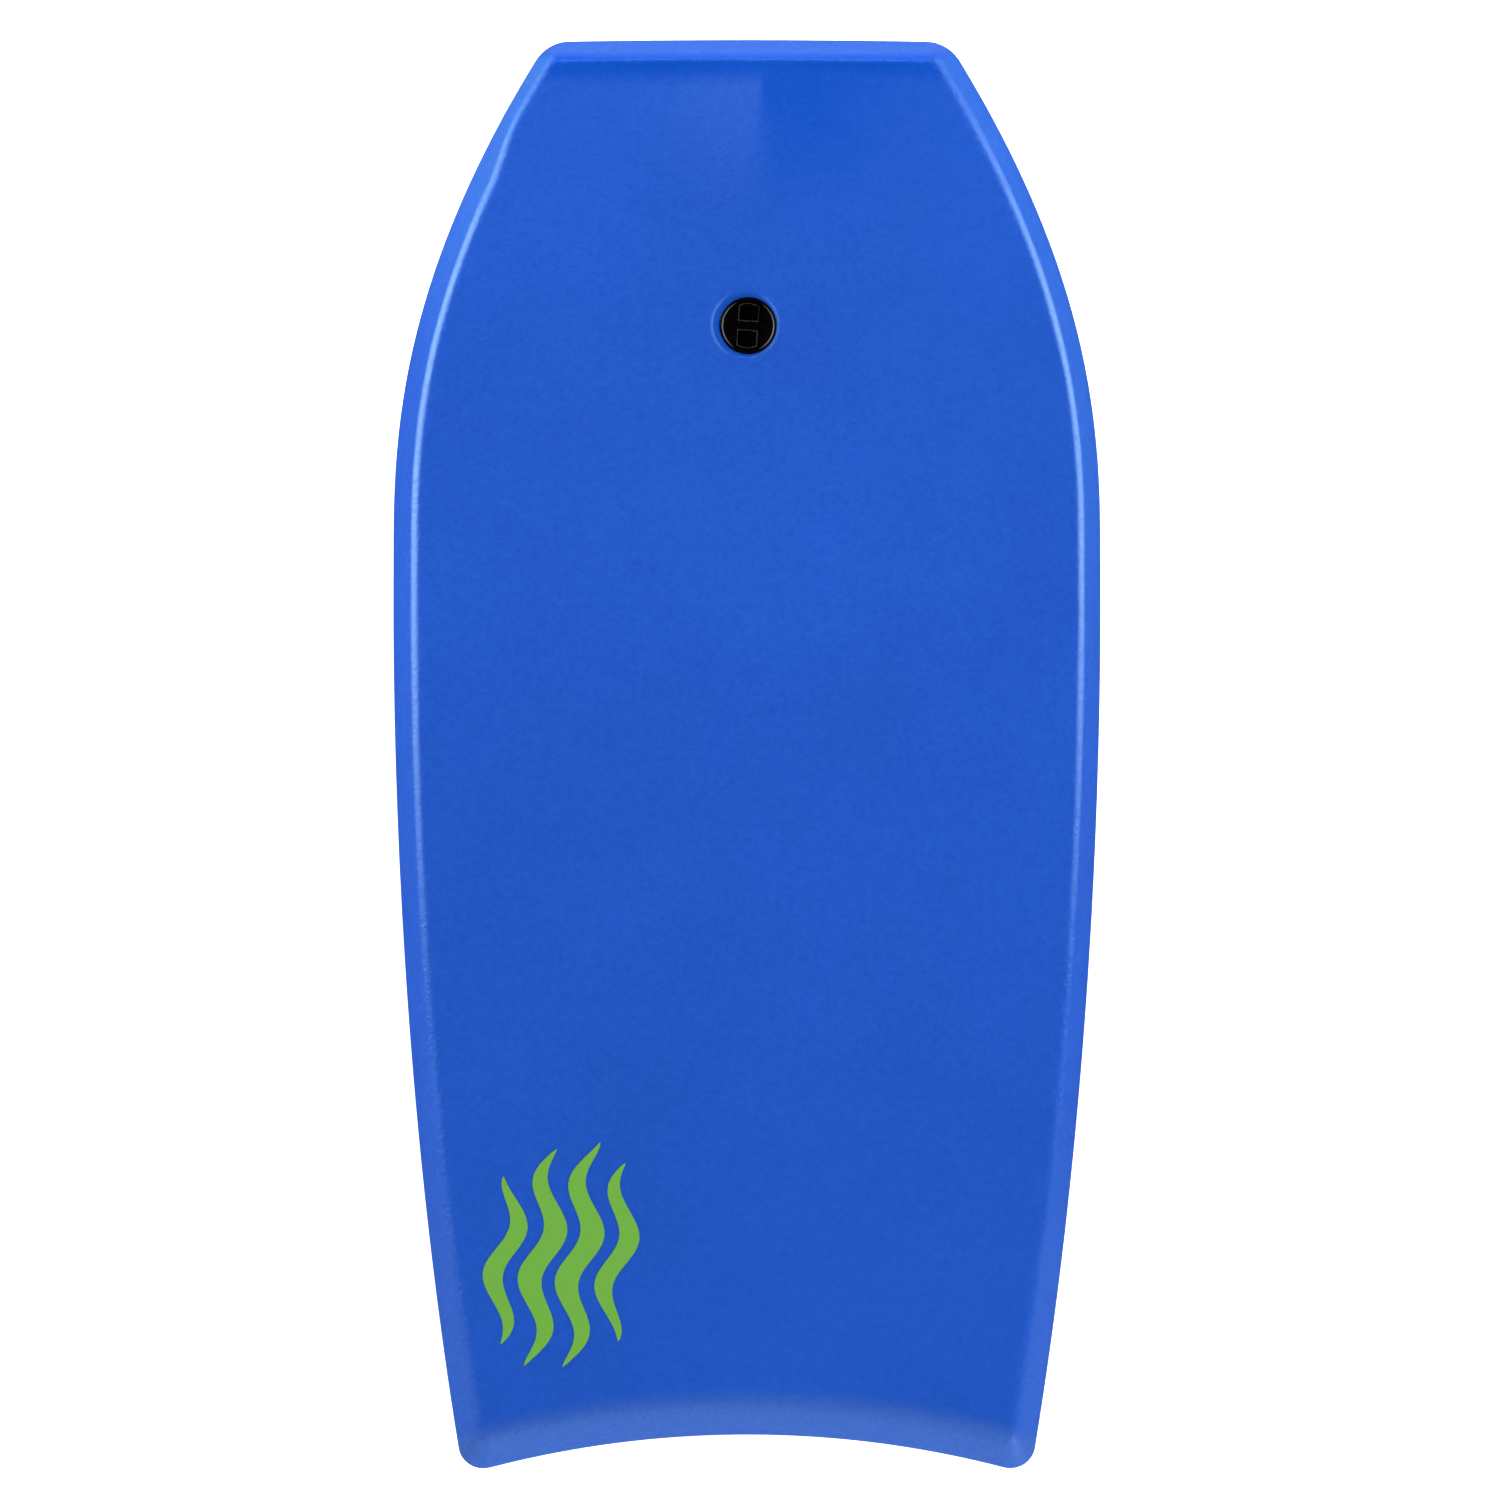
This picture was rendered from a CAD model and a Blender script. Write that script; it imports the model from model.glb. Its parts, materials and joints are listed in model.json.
"""A 41 in bodyboard: the finished look of each of its pieces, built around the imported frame.

Shapes are worked out in millimetres and turned into metres when a mesh is made.
X runs across the board, Y from tail to nose, and Z up from the floor that it lies on.
"""

import json
import math

import bmesh
import bpy
import numpy as np
from mathutils import Matrix, Vector

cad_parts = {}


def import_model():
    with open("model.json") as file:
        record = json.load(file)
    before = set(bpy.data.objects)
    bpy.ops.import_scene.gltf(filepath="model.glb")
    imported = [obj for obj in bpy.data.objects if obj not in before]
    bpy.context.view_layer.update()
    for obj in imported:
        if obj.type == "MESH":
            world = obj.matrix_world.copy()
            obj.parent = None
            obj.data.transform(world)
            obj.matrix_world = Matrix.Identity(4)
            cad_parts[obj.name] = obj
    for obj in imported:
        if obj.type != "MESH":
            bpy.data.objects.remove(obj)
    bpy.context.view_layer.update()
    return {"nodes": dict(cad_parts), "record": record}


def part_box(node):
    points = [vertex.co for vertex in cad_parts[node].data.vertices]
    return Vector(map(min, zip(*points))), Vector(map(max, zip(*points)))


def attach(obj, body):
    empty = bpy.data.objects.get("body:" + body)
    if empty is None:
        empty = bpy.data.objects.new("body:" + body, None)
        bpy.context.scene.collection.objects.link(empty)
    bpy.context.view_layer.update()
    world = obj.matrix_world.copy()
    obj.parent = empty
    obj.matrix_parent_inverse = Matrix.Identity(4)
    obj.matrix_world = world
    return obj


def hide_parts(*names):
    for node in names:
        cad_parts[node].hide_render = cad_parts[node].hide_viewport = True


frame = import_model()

MM = 0.001

# ---- The board's dimensions, in millimetres

deck_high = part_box("deck_skin")[1] / MM

# Plan of the widest line, which is the apex of the rails
NOSE_Y = deck_high.y
NOSE_CROWN = 1.5  # how far the nose's edge falls back at its corners
NOSE_HALF = 146
WIDE_HALF = deck_high.x
WIDE_Y = 140
TAIL_HALF = 208.3
TAIL_Y = -496.5  # the crescent tail on the centre line
CRESCENT_RADIUS = 745
END_Y = 519  # where the side's curve starts and ends, plus and minus
# Handles of the side's two curves. A scratch script fitted them, the half widths and WIDE_Y to the photo's
# outline, and they were rounded.
NOSE_HANDLE = (259, 342)
WIDE_HANDLES_Y = (222, 94)
TAIL_HANDLE = (262, -199)
NOSE_CUT = 16  # length that a nose corner's round takes from its edges
TAIL_CUT = 20
CUT_FALL = 0.6  # how much less that is for each millimetre further in
LEAST_CUT = 3

# Side view
ROCKER = 38
ROCKER_Y = 150
THICK = 56
NOSE_THICK = 38
NOSE_TAPER_Y = 335
TAIL_THICK = 45
TAIL_TAPER_Y = -250
APEX_SHARE = 0.42  # height of the rails' apex, as a share of the thickness

# Upper bevel: inset of its shoulder from the apex, and how far from there the shoulder's round starts
BEVEL_NOSE = 14
BEVEL_SIDE = 13.8
BEVEL_SIDE_TAIL = 17  # the same on the sides, at the tail
BEVEL_TAIL = 22
NARROWING = 7.3  # of the left bevel at the nose's corner
NARROWING_Y = (415, 468)  # where that starts, and where it is complete
NARROWING_X = (-130, -90)  # where it is still complete, and where it has ended
ROUND_NOSE = 3.2
ROUND_SIDE = 7.5
ROUND_SIDE_TAIL = 9  # the same on the sides, near the tail
ROUND_SIDE_FADE = (-120, -440)
BEVEL_SIDE_FADE = (-300, -480)
ROUND_TAIL = 13
ROUND_STEPS = 8
BEVEL_BULGE = 0.5  # how far the bevel's face swells between its edges
EDGE_ROUND = 0.8  # of the skins at the apex
EDGE_IN, EDGE_UP = 0.3 * EDGE_ROUND, 0.25 * EDGE_ROUND  # the middle of that round, from its two faces

# Inside of the deck skin, as the frame has it
SKIN = 4
SKIN_RAIL = 5
SKIN_INSETS = {"nose": 11, "side": 14, "tail": 23}
SHOULDER = 0.8
SHOULDER_RISE = 0.9
SHOULDER_DROP = 2.4
CREASE = 1.25
CREASE_DRAW = 2

# Lower rails and slick
LOWER_INSETS = {"nose": 8, "side": 7, "tail": 6}
LOWER_BULGE = 1.2
GAP = 0.3
SLICK = 1
SLICK_ROUND = 0.3
CHANNEL_EDGES = (72, 79, 111, 118)
CHANNEL_DEPTH = 5
CHANNEL_ENDS = (-230, -420)  # where the channels start and where they reach their depth

# Relief of the deck behind the nose
RIDGE_X = 7
RIDGE_LEFT = 62  # how far the ridge's left slope reaches
RIDGE_RIGHT = 44
RIDGE_HEIGHT = 1.3
RIDGE_FADE = (375, 440)
RIDGE_LINE = 9.5  # where the dye changes across the ridge
TROUGH_DEPTH = 0.7

# Leash plug, in its own frame: Z along its axis, 0 at the underside of the top flange
PLUG_Y = 312
PLUG_TURN = math.radians(-3.8)
FLANGE_SINK = 2.1
FLANGE_RADIUS = 20.4
FLANGE_FACE = 2.2
LIP_TOP = 3
LIP_INNER = 18.3
LIP_PALE = 18.7  # radius of the paler line on the lip
CUP_RADIUS = 17.6
CUP_BASE = -14
POCKET_RADIUS = 16
POCKET_HALF = 7.1
POCKET_FLOOR = -12
BAR_HALF = 3.5
BAR_UNDERSIDE = -3
VALLEY_HALF = 9.3
VALLEY_LEVEL = 1.2
POST_RADIUS = 10.2
POST_END = -45
SOCKET_TOP = -18
THREAD_PITCH = 4
THREAD_DEPTH = 0.9
THREAD_CREST = 7.4
THREAD_PLAY = 0.35
SCREW_TOP = -20
SCREW_FLANGE = 2.4
SCREW_SLOT = (24, 3, 1.3)  # length, width and depth

# Dish that the foam is pressed into around the plug, a little off its centre
DISH_X = -2.2
DISH_Y = PLUG_Y + 0.8
DISH_RADII = (17, 23.3, 24.7, 33)  # foot of its slope, foot and top of its crisp edge, end of the swelling
DISH_PALE = 24.3  # radius of the paler line on its edge
DISH_DEPTH = 0.55
DISH_EDGE_DEPTH = 0.45
DISH_SWELL = 0.12

# How finely the surfaces are divided
PATCH_STEP = 3.6
PATCH_STEPS = 14  # columns and rows of that size on each side of the plug's centre
PATCH_HALF = PATCH_STEP * PATCH_STEPS
OUTER_STEPS = 14  # columns from the last fixed one to the corners
CORNER_STEPS = 12
RUN_IN = 4  # rows between a corner's round and the first straight row
TAIL_ROWS = np.linspace(-452, PLUG_Y - PATCH_HALF, 86)
PATCH_ROWS = np.linspace(PLUG_Y - PATCH_HALF, PLUG_Y + PATCH_HALF, 2 * PATCH_STEPS + 1)
NOSE_ROWS = np.linspace(PLUG_Y + PATCH_HALF, 472, 24)
ROWS = np.concatenate([TAIL_ROWS, PATCH_ROWS[1:-1], NOSE_ROWS])
PATCH_COLUMNS = [PATCH_STEP * i for i in range(PATCH_STEPS + 1)]
CHANNEL_SLOPES = [np.linspace(start, end, 6) for start, end in (CHANNEL_EDGES[:2], CHANNEL_EDGES[2:])]
SLICK_COLUMNS = [*PATCH_COLUMNS, 57.6, 64.8, *CHANNEL_SLOPES[0], 87, 95, 103, *CHANNEL_SLOPES[1]]


# ---- Heights

def share(value, start, end):
    return np.clip((value - start) / (end - start), 0, 1)


def smooth(value, start, end):
    t = share(value, start, end)
    return t * t * (3 - 2 * t)


def bottom_z(y):
    return ROCKER * share(y, ROCKER_Y, END_Y) ** 2


def thickness(y):
    nose_fall = (THICK - NOSE_THICK) * share(y, NOSE_TAPER_Y, NOSE_Y) ** 1.5
    tail_fall = (THICK - TAIL_THICK) * share(y, TAIL_TAPER_Y, -NOSE_Y) ** 1.6
    return THICK - nose_fall - tail_fall


def top_z(y):
    return bottom_z(y) + thickness(y)


def apex_z(y):
    return bottom_z(y) + APEX_SHARE * thickness(y)


def channel_lift(x, y):
    foot, top, far_top, far_foot = CHANNEL_EDGES
    across = smooth(abs(x), foot, top) * (1 - smooth(abs(x), far_top, far_foot))
    return CHANNEL_DEPTH * across * smooth(-y, -CHANNEL_ENDS[0], -CHANNEL_ENDS[1])


def nose_line(x):
    return NOSE_Y - NOSE_CROWN * (x / NOSE_HALF) ** 2


def tail_line(x):
    return TAIL_Y - CRESCENT_RADIUS + np.sqrt(CRESCENT_RADIUS**2 - x * x)


def nose_relief(x, y):
    """A soft ridge a little right of the middle, and a shallow trough just behind the nose's bevel."""
    run = np.where(x < RIDGE_X, (RIDGE_X - x) / RIDGE_LEFT, (x - RIDGE_X) / RIDGE_RIGHT)
    ridge = RIDGE_HEIGHT * (1 - np.clip(run, 0, 1)) ** 1.3 * smooth(y, *RIDGE_FADE)
    behind = nose_line(x) - BEVEL_NOSE - y
    trough = TROUGH_DEPTH * smooth(behind, 0, 10) * (1 - smooth(behind, 14, 46))
    return ridge * smooth(behind, 0, 14) - trough * (1 - smooth(abs(x), 80, 135))


def plug_relief(x, y):
    """The dish around the plug, with a faint swelling outside its edge."""
    foot, edge, brim, outside = DISH_RADII
    out = np.hypot(x - DISH_X, y - DISH_Y)
    sunk = DISH_EDGE_DEPTH * (1 - smooth(out, edge, brim)) + DISH_DEPTH * (1 - smooth(out, foot, edge))
    return DISH_SWELL * (1 - smooth(out, brim, outside)) - sunk


def swell(x, y):
    """The deck's slight unevenness: long low waves that cross each other."""
    # Length, direction and height of each
    waves = ((210, 0.3, 0.11), (127, 2.1, 0.08), (83, 1.2, 0.05), (61, 2.7, 0.035), (47, 0.8, 0.025))
    return sum(
        height * np.sin(2 * math.pi * (x * math.cos(turn) + y * math.sin(turn)) / length + 3 * turn)
        for length, turn, height in waves
    )


def relief(x, y):
    return nose_relief(x, y) + plug_relief(x, y) + swell(x, y)


def deck_z(x, y):
    return top_z(y) + relief(x, y)


# ---- Plan loops

def bezier(controls, t):
    """Points along a cubic Bezier curve, and its directions there."""
    a, b, c, d = (np.array(p, float) for p in controls)
    s = 1 - t
    points = s**3 * a + 3 * s * s * t * b + 3 * s * t * t * c + t**3 * d
    along = s * s * (b - a) + 2 * s * t * (c - b) + t * t * (d - c)
    return points, along / np.linalg.norm(along, axis=1)[:, None]


def side_line(inset):
    """The right side from nose to tail, moved inwards by inset(y), and run a little past both ends."""
    overrun = 40
    t = np.linspace(0, 1, 240)[:, None]
    front_handle, back_handle = ((WIDE_HALF, y) for y in WIDE_HANDLES_Y)
    widest = (WIDE_HALF, WIDE_Y)
    front, front_along = bezier(((NOSE_HALF, END_Y), NOSE_HANDLE, front_handle, widest), t)
    back, back_along = bezier((widest, back_handle, TAIL_HANDLE, (TAIL_HALF, -END_Y)), t)
    points = np.vstack([front, back[1:]])
    along = np.vstack([front_along, back_along[1:]])
    inwards = np.column_stack([along[:, 1], -along[:, 0]])
    moved = points + inwards * inset(points[:, 1])[:, None]
    return np.vstack([moved[0] - overrun * along[0], moved, moved[-1] + overrun * along[-1]])


def crossing(line, edge):
    """Where a line of points first drops below an edge, with the number of the point after it."""
    above = line[:, 1] - edge(line[:, 0])
    after = int(np.argmax(above <= 0))
    part = above[after - 1] / (above[after - 1] - above[after])
    return after, line[after - 1] + part * (line[after] - line[after - 1])


def travelled(line):
    """How far along a line of points each of them is."""
    steps = np.linalg.norm(np.diff(line, axis=0), axis=1)
    return np.concatenate([[0], np.cumsum(steps)])


def along_line(line, distances):
    """Points at some distances along a line of points."""
    reached = travelled(line)
    return np.column_stack([np.interp(distances, reached, line[:, axis]) for axis in (0, 1)])


def round_corner(start, corner, end):
    """A round from start to end, tangent to the edges that meet at the sharp corner."""
    to_start = (start - corner) / np.linalg.norm(start - corner)
    to_end = (end - corner) / np.linalg.norm(end - corner)
    weight = math.sqrt((1 - to_start @ to_end) / 2)
    t = np.linspace(0, 1, CORNER_STEPS + 1)[:, None]
    u, v, w = (1 - t) ** 2, 2 * weight * t * (1 - t), t * t
    return (u * start + v * corner + w * end) / (u + v + w)


class Plan:
    """A closed loop of plan points at some inset from the widest line, anticlockwise from the tail's middle.
    Any two plans with the same columns match point for point."""

    def __init__(self, nose, side, tail, columns):
        side_inset = side if callable(side) else lambda y: np.full_like(y, side)
        line = side_line(side_inset)
        nose_edge = lambda x: nose_line(x) - nose
        tail_edge = lambda x: tail_line(x) + tail
        after_nose, top = crossing(line, nose_edge)
        after_tail, end = crossing(line, tail_edge)
        nose_cut = max(LEAST_CUT, NOSE_CUT - nose * CUT_FALL)
        tail_cut = max(LEAST_CUT, TAIL_CUT - tail * CUT_FALL)
        flank = np.vstack([top, line[after_nose:after_tail], end])
        rows = np.array([crossing(line, lambda x, y=y: y + 0 * x)[1] for y in ROWS])

        def run_in(from_end, cut, first_row):
            gone = abs(from_end[:, 1] - from_end[0, 1])
            reach = np.interp(abs(first_row[1] - from_end[0, 1]), gone, travelled(from_end))
            return along_line(from_end, np.linspace(cut, reach, RUN_IN + 1)[:-1])

        tail_run = run_in(flank[::-1], tail_cut, rows[0])
        nose_run = run_in(flank, nose_cut, rows[-1])[::-1]
        flank_points = np.vstack([tail_run, rows, nose_run])

        def edge_points(edge, reach):
            outer = np.linspace(columns[-1], reach, OUTER_STEPS + 1)[1:]
            x = np.concatenate([columns, outer])
            return np.column_stack([x, edge(x)])

        tail_points = edge_points(tail_edge, end[0] - tail_cut)
        nose_points = edge_points(nose_edge, top[0] - nose_cut)[::-1]
        half = np.vstack([
            tail_points,
            round_corner(tail_points[-1], end, flank_points[0])[1:-1],
            flank_points,
            round_corner(flank_points[-1], top, nose_points[0])[1:-1],
            nose_points,
        ])
        self.half = half
        self.columns = columns
        self.loop = np.vstack([half, half[-2:0:-1] * (-1, 1)])
        self.across = len(tail_points) - 1 + CORNER_STEPS // 2
        self.run = CORNER_STEPS // 2 + RUN_IN  # rows from a corner's middle to the first straight row
        self.along = 2 * self.run + len(rows) - 1

    def inside(self):
        """Plan points across the inside of the loop, in rows from tail to nose. The rows near each end take
        up the curve of that edge, and the others are straight."""
        across, along = self.across, self.along
        tail = self.half[: across + 1]
        side = self.half[across : across + along + 1]
        nose = self.half[across + along :][::-1]
        straight = self.columns[-1]
        fixed = len(self.columns)
        bends = [(edge[:, 0] - straight) / (edge[-1, 0] - straight) for edge in (tail, nose)]
        grid = []
        for i, end in enumerate(side):
            t = i / along
            near_tail = 2 * i < along
            edge = tail if near_tail else nose
            first = side[self.run] if near_tail else side[along - self.run]
            straightened = share(end[1], edge[-1, 1], first[1])
            x = straight + ((1 - t) * bends[0] + t * bends[1]) * (end[0] - straight)
            x[:fixed] = self.columns
            y = edge[:, 1] + straightened * (first[1] - edge[:, 1]) if straightened < 1 else 0 * x + end[1]
            right = np.column_stack([x, y])
            grid.append(np.vstack([right[:0:-1] * (-1, 1), right]))
        return np.array(grid)

    def edge_shares(self):
        """How much each point of the loop belongs to the nose, the sides and the tail."""
        count = len(self.half)
        index = np.arange(count)
        corner = CORNER_STEPS / 2
        to_side = smooth(index, self.across - corner, self.across + corner)
        to_nose = smooth(index, self.across + self.along - corner, self.across + self.along + corner)
        half = np.column_stack([to_nose, to_side * (1 - to_nose), 1 - to_side])
        return np.vstack([half, half[-2:0:-1]])


# ---- Meshes

class Surface:
    """Grids of points gathered piece by piece, and welded where they touch when the mesh is made."""

    def __init__(self):
        self.points = []
        self.faces = []

    def grid(self, rows, closed=False, skip=None):
        """Adds rows of points with faces between them. Closed rows run round in a loop."""
        rows = np.asarray(rows, float)
        height, width = rows.shape[:2]
        first = len(self.points)
        self.points.extend(rows.reshape(-1, 3))
        for i in range(height - 1):
            for j in range(width if closed else width - 1):
                if skip and skip(i, j):
                    continue
                a, b = first + i * width + j, first + i * width + (j + 1) % width
                self.faces.append((a, b, b + width, a + width))

    def cap(self, ring):
        """Adds one face over a small ring of points."""
        first = len(self.points)
        self.points.extend(np.asarray(ring, float))
        self.faces.append(tuple(range(first, len(self.points))))

    def mesh(self, name, sharp):
        """Makes the object, in metres, with smooth shading across edges less than sharp degrees."""
        work = bmesh.new()
        points = [work.verts.new(Vector(p) * MM) for p in self.points]
        for face in self.faces:
            work.faces.new([points[i] for i in face])
        bmesh.ops.remove_doubles(work, verts=work.verts, dist=1e-7)
        bmesh.ops.dissolve_degenerate(work, edges=work.edges, dist=1e-7)
        bmesh.ops.recalc_face_normals(work, faces=work.faces)
        data = bpy.data.meshes.new(name)
        work.to_mesh(data)
        work.free()
        piece = bpy.data.objects.new(name, data)
        bpy.context.scene.collection.objects.link(piece)
        shade(piece, sharp)
        return piece


def shade(piece, sharp):
    piece.data.shade_smooth()
    piece.data.set_sharp_from_angle(angle=math.radians(sharp))


def solid(name, rings, sharp):
    """A solid whose wall runs through closed rings of points, with a flat cap on the first and the last."""
    surface = Surface()
    surface.grid(rings, closed=True)
    surface.cap(rings[0])
    surface.cap(rings[-1])
    return surface.mesh(name, sharp)


def over(plan_points, height):
    """Plan points raised to height(x, y)."""
    return np.column_stack([plan_points, height(*plan_points.T)])


def circle(radius, z, angles):
    return np.column_stack([radius * np.cos(angles), radius * np.sin(angles), np.full(len(angles), float(z))])


def interior(surface, plan, height, hole, rings):
    """Adds a sheet inside a plan, with a round hole about the plug's centre. A square patch around the hole
    turns into circles of the ring radii. Returns the directions of the circles' points from the centre."""
    grid = plan.inside()
    z = height(grid[..., 0], grid[..., 1])
    first_row = plan.run + len(TAIL_ROWS) - 1
    last_row = first_row + 2 * PATCH_STEPS
    left, right = plan.across - PATCH_STEPS, plan.across + PATCH_STEPS
    in_patch = lambda i, j: first_row <= i < last_row and left <= j < right
    surface.grid(np.dstack([grid, z]), skip=in_patch)
    square = np.vstack([
        grid[first_row, left:right],
        grid[first_row:last_row, right],
        grid[last_row, left + 1 : right + 1][::-1],
        grid[first_row + 1 : last_row + 1, left][::-1],
    ])
    centre = np.array([0, PLUG_Y])
    outwards = (square - centre) / np.linalg.norm(square - centre, axis=1)[:, None]
    widest = centre + rings[0] * outwards
    loops = [square + t * (widest - square) for t in np.linspace(0, 1, 7)]  # from square to round
    loops += [centre + radius * outwards for radius in [*rings[1:], hole]]
    surface.grid([over(loop, height) for loop in loops], closed=True)
    return outwards


def in_plug_frame(outwards, radius, z):
    """A ring about the plug's axis, in the board's frame."""
    local = np.column_stack([radius * outwards, np.full(len(outwards), z)])
    return np.array([(plug_axes @ Vector(p))[:] for p in local])


plug_tilt = math.atan(2 * ROCKER * (PLUG_Y - ROCKER_Y) / (END_Y - ROCKER_Y) ** 2)
plug_axes = (
    Matrix.Translation((0, PLUG_Y, float(top_z(PLUG_Y))))
    @ Matrix.Rotation(plug_tilt, 4, "X")
    @ Matrix.Translation((0, 0, -FLANGE_SINK))
)
plug_place = Matrix.Scale(MM, 4) @ plug_axes @ Matrix.Rotation(PLUG_TURN, 4, "Z") @ Matrix.Scale(1 / MM, 4)
slick_level = FLANGE_SINK - THICK * math.cos(plug_tilt)


# ---- Deck skin

FACE_PARTS = (0.04, 0.2, 0.4, 0.6, 0.8, 1)  # heights of the rings on the bevel's face, as shares of it


def bevel_point(width, rise, reach, step):
    """Inset from the apex and height above it: on the bevel's face for steps up to 0, then round its
    shoulder. The face and the deck, carried on, would meet at that width and rise."""
    slope = np.arctan2(rise, width)
    radius = reach / np.tan(slope / 2)
    if step <= 0:
        part = FACE_PARTS[step + len(FACE_PARTS) - 1]
        end_inset = width - reach * np.cos(slope)
        end_rise = rise - reach * np.sin(slope)
        bulge = BEVEL_BULGE * np.sin(math.pi * part)
        return part * end_inset - bulge * np.sin(slope), part * end_rise + bulge * np.cos(slope)
    turn = slope * (1 - step / ROUND_STEPS)
    return width + reach - radius * np.sin(turn), rise - radius * (1 - np.cos(turn))


def towards_tail(y, front, tail, fade):
    """A size that changes from one value to another where y falls from fade's first to its second."""
    return front + (tail - front) * smooth(-y, -fade[0], -fade[1])


def bevel_ring(step):
    """One ring of the deck's bevel, from its foot to where the deck turns level."""
    rise = lambda y: (1 - APEX_SHARE) * thickness(y)
    side_width = lambda y: towards_tail(y, BEVEL_SIDE, BEVEL_SIDE_TAIL, BEVEL_SIDE_FADE)
    side_reach = lambda y: towards_tail(y, ROUND_SIDE, ROUND_SIDE_TAIL, ROUND_SIDE_FADE)
    edges = {
        "nose": lambda y: bevel_point(BEVEL_NOSE, rise(y), ROUND_NOSE, step),
        "side": lambda y: bevel_point(side_width(y), rise(y), side_reach(y), step),
        "tail": lambda y: bevel_point(BEVEL_TAIL, rise(y), ROUND_TAIL, step),
    }
    nose_inset = float(edges["nose"](NOSE_Y)[0])
    tail_inset = float(edges["tail"](TAIL_Y)[0])
    plan = Plan(nose_inset, lambda y: edges["side"](y)[0], tail_inset, PATCH_COLUMNS)
    x, y = plan.loop.T
    heights = np.column_stack([edges[name](y)[1] for name in ("nose", "side", "tail")])
    level = share(step, 0, ROUND_STEPS) ** 2
    z = apex_z(y) + (heights * plan.edge_shares()).sum(axis=1) + level * relief(x, y)
    return plan, np.column_stack([plan.loop, z])


def skin_plan(share_in, more):
    return Plan(*(width * share_in + more for width in SKIN_INSETS.values()), PATCH_COLUMNS)


def ring_at(plan, height):
    return over(plan.loop, lambda x, y: height(y))


def left_corner(x, y, z):
    """The left bevel narrows towards the nose, so its shoulder is drawn outwards there."""
    height = share(z, apex_z(y), top_z(y))
    nearness = smooth(y, *NARROWING_Y) * (1 - smooth(x, *NARROWING_X))
    return (x - NARROWING * height * nearness, y, z)


def deck_skin():
    surface = Surface()
    under_deck = lambda x, y: deck_z(x, y) - SKIN
    under_shoulder = lambda y: apex_z(y) + SHOULDER_RISE * (top_z(y) - apex_z(y)) - SHOULDER_DROP
    inside = skin_plan(CREASE, SKIN_RAIL - CREASE_DRAW)
    rings = [
        over(inside.loop, under_deck),
        ring_at(skin_plan(SHOULDER, SKIN_RAIL), under_shoulder),
        ring_at(skin_plan(0, SKIN_RAIL), apex_z),
        ring_at(skin_plan(0, EDGE_ROUND), apex_z),
        ring_at(skin_plan(0, EDGE_IN), lambda y: apex_z(y) + EDGE_UP),
    ]
    for step in range(1 - len(FACE_PARTS), ROUND_STEPS + 1):
        plan, ring = bevel_ring(step)
        rings.append(ring)
    surface.grid(rings, closed=True)
    recess = FLANGE_RADIUS + 0.15
    brim = recess + 0.3  # where the deck turns down into the recess
    brim_drop = 1.5
    well = CUP_RADIUS + GAP
    radii = [38, 34, 31, 29, *np.arange(28, 21, -0.4)]
    outwards = interior(surface, plan, deck_z, brim, radii)
    interior(surface, inside, under_deck, well, [38, 32, 27, 22])
    centre = np.array([0, PLUG_Y])
    lip = centre + brim * outwards
    under = centre + well * outwards
    wall = [
        over(lip, deck_z),
        in_plug_frame(outwards, recess, FLANGE_SINK - brim_drop),
        in_plug_frame(outwards, recess, -GAP),
        in_plug_frame(outwards, well, -GAP),
        over(under, under_deck),
    ]
    surface.grid(wall, closed=True)
    surface.points = [left_corner(*point) for point in surface.points]
    return surface.mesh("deck_skin_foam", sharp=50)


# ---- Lower rails and slick

def lower_plan(share_in, more):
    return Plan(*(width * share_in + more for width in LOWER_INSETS.values()), SLICK_COLUMNS)


def lower_rail_rings():
    """Rings round the lower rails' section: their top, the outside face, the foot and the inside."""
    top = lambda y: apex_z(y) - GAP
    foot = lambda x, y: bottom_z(y) + channel_lift(x, y) + SLICK + GAP

    def ring(plan, low_share, drop):
        return over(plan.loop, lambda x, y: top(y) + low_share * (foot(x, y) - top(y)) - drop)

    rings = [
        ring(lower_plan(0, SKIN_RAIL), 0, 0),
        ring(lower_plan(0, EDGE_ROUND), 0, 0),
        ring(lower_plan(0, EDGE_IN), 0, EDGE_UP),
    ]
    rings.append(ring(lower_plan(0.05, 0), 0.05, 0))
    for part in (0.2, 0.4, 0.6, 0.8, 0.96):
        rings.append(ring(lower_plan(part, -LOWER_BULGE * math.sin(math.pi * part)), part, 0))
    rings += [
        ring(lower_plan(1, EDGE_IN), 1, -EDGE_UP),
        ring(lower_plan(1, EDGE_ROUND), 1, 0),
        ring(lower_plan(1, SKIN_RAIL), 1, 0),
    ]
    return np.array(rings)


def lower_rails():
    """The four strips, mitred at the middles of the corners with a fine gap between them."""
    rings = lower_rail_rings()
    count = rings.shape[1]
    plan = lower_plan(0, 0)
    half_loop = len(plan.half) - 1
    across, along = plan.across, plan.along
    spans = {
        "tail": (-across, across),
        "right": (across, across + along),
        "nose": (across + along, half_loop + across),
        "left": (half_loop + across, count - across),
    }
    pieces = {}
    for name, (start, end) in spans.items():
        sections = [rings[:, k % count] for k in range(start, end + 1)]
        for end_index, next_index in ((0, 1), (-1, -2)):
            step = sections[next_index] - sections[end_index]
            pull = GAP / np.linalg.norm(step[0])
            sections[end_index] = sections[end_index] + pull * step
        pieces[name] = solid(f"lower_rail_{name}_foam", sections, sharp=50)
    return pieces


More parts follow.
